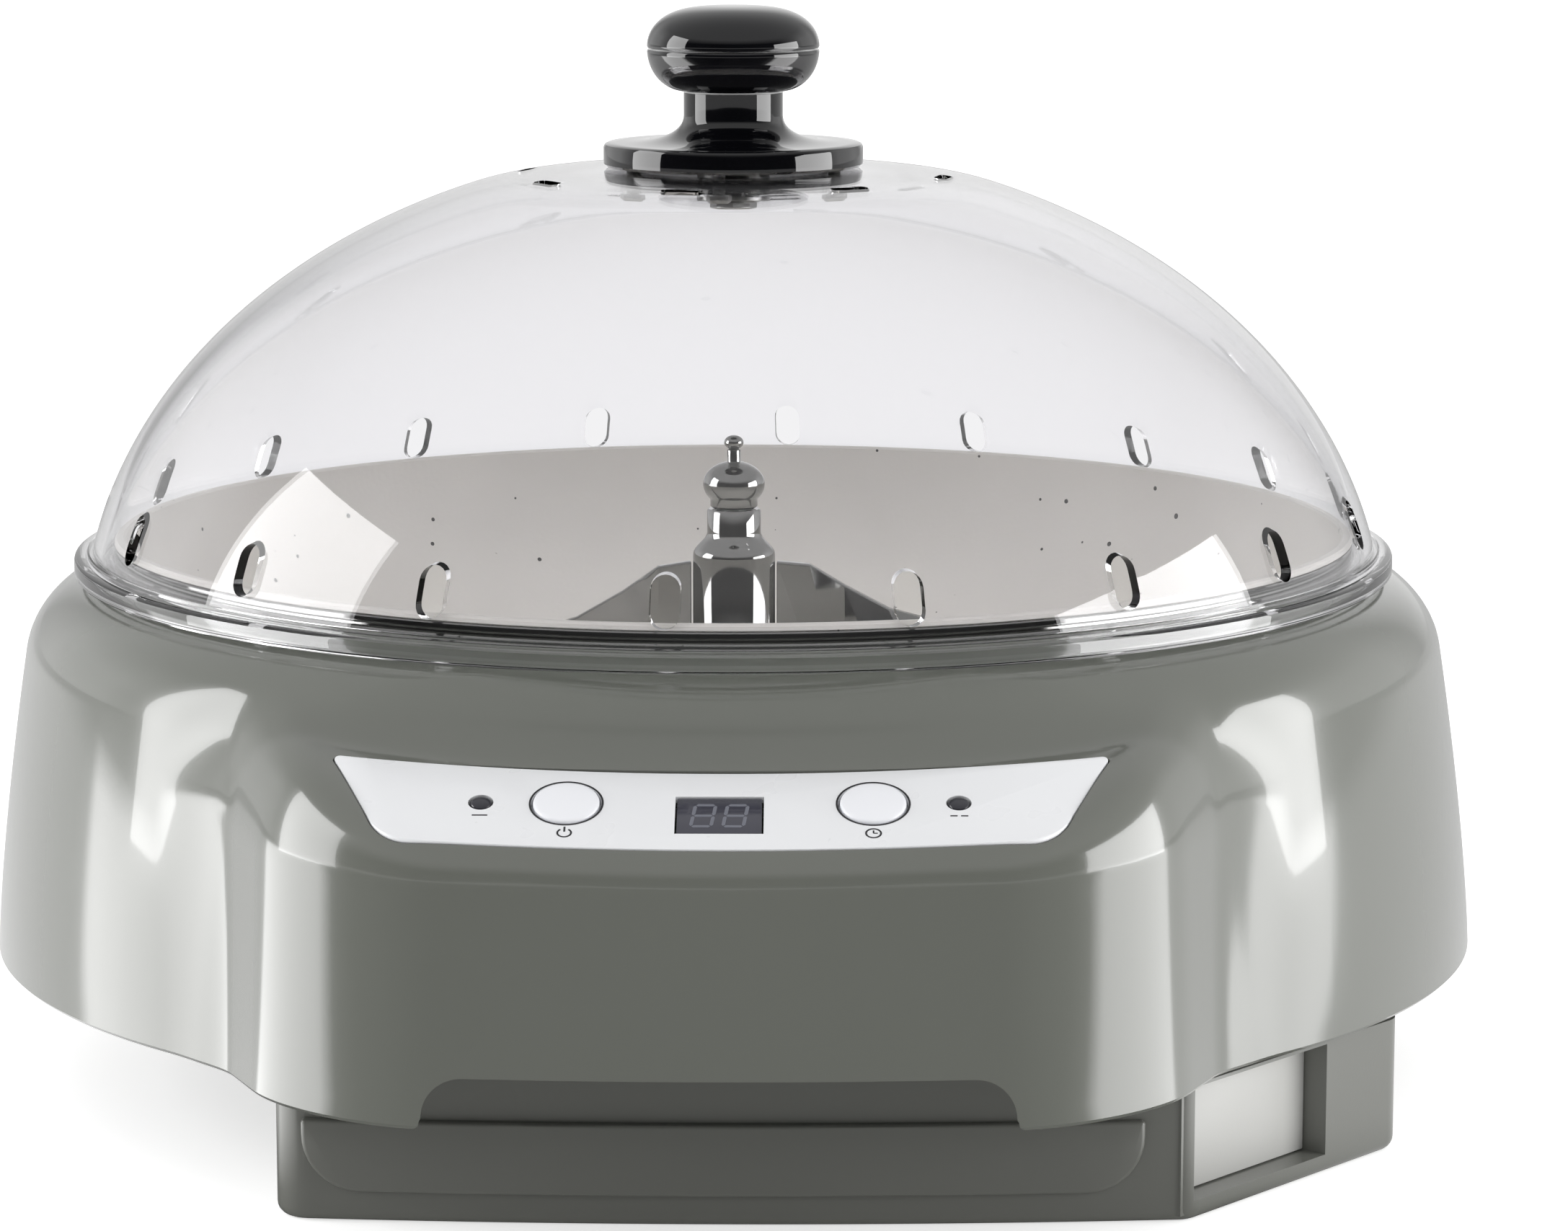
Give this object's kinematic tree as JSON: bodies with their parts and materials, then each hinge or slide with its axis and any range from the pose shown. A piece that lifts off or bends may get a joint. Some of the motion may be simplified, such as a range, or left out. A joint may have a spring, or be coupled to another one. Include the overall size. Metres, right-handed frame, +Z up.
{
  "type": "coffee bean roaster",
  "caption": "Countertop coffee bean roaster: clear lift-off dome with a knob over a heated pan and driven stirrer, round moulded body with a front control panel.",
  "frame": {"origin": "on the stirrer's axis, in the plane of the base's underside", "axes": "+Z up along the stirrer's axis, -Y towards the control panel, +X to the right seen from the front"},
  "size_m": [0.286, 0.2994, 0.2057],
  "materials": {
    "shell_grey": "gloss",
    "base_grey": "satin",
    "plate_grey": "satin",
    "panel_white": "satin",
    "button_white": "satin",
    "dark_lens": "gloss",
    "lamp_dark": "gloss",
    "black_gloss": "gloss",
    "clear_dome": "clear",
    "pan_coating": "speckled non-stick",
    "polished_steel": "polished",
    "plain_steel": "satin",
    "sheet_steel": "satin",
    "brass": "satin",
    "board_green": "satin",
    "switch_black": "matt",
    "rubber_black": "matt"
  },
  "bodies": {
    "housing": {"body_shell": "shell_grey", "base_housing": "base_grey", "side_recess_plate": "plate_grey", "control_panel": "panel_white", "display_window": "dark_lens", "display_block": "switch_black", "power_lamp": "lamp_dark", "working_lamp": "lamp_dark", "control_board": "board_green", "power_switch": "switch_black", "timer_switch": "switch_black", "board_screw_left": "plain_steel", "board_screw_right": "plain_steel", "roasting_pan": "pan_coating", "pan_collar": "polished_steel", "heating_element": "plain_steel", "element_clamp_1": "sheet_steel", "element_clamp_2": "sheet_steel", "element_clamp_3": "sheet_steel", "heat_shield": "sheet_steel", "shield_screw_1": "plain_steel", "shield_screw_2": "plain_steel", "shield_screw_3": "plain_steel", "gear_motor": "plain_steel", "motor_screw_left": "plain_steel", "motor_screw_right": "plain_steel", "shaft_bush": "brass", "thermostat": "plain_steel", "foot_front_left": "rubber_black", "foot_rear_left": "rubber_black", "foot_front_right": "rubber_black", "foot_rear_right": "rubber_black", "base_screw_front_left": "plain_steel", "base_screw_rear_left": "plain_steel", "base_screw_front_right": "plain_steel", "base_screw_rear_right": "plain_steel", "cable_gland": "rubber_black"},
    "stirrer": {"drive_shaft": "plain_steel", "stirrer_hub": "polished_steel", "stirrer_blade_left": "polished_steel", "stirrer_blade_right": "polished_steel", "stirrer_cap_nut": "polished_steel"},
    "lid": {"dome_lid": "clear_dome", "knob_base": "black_gloss", "knob_ball": "black_gloss", "knob_cap": "black_gloss", "knob_screw": "plain_steel", "knob_washer": "plain_steel", "knob_plate_screw_1": "plain_steel", "knob_plate_screw_2": "plain_steel", "knob_plate_screw_3": "plain_steel", "knob_plate_screw_4": "plain_steel"},
    "power_key": {"power_button": "button_white"},
    "timer_key": {"timer_button": "button_white"}
  },
  "joints": [
    {"name": "stirrer_spin", "type": "hinge", "parent": "housing", "child": "stirrer", "pos_m": [0, 0, 0.09], "axis": [0, 0, 1], "continuous": true},
    {"name": "lid_lift", "type": "slide", "parent": "housing", "child": "lid", "axis": [0, 0, 1], "range_m": [0, 0.12]},
    {"name": "power_button_press", "type": "slide", "parent": "housing", "child": "power_key", "axis": [0, 0.4067, -0.9135], "range_m": [0, 0.0005], "stiffness_N_per_m": 400},
    {"name": "timer_button_press", "type": "slide", "parent": "housing", "child": "timer_key", "axis": [0, 0.4067, -0.9135], "range_m": [0, 0.0005], "stiffness_N_per_m": 400}
  ]
}
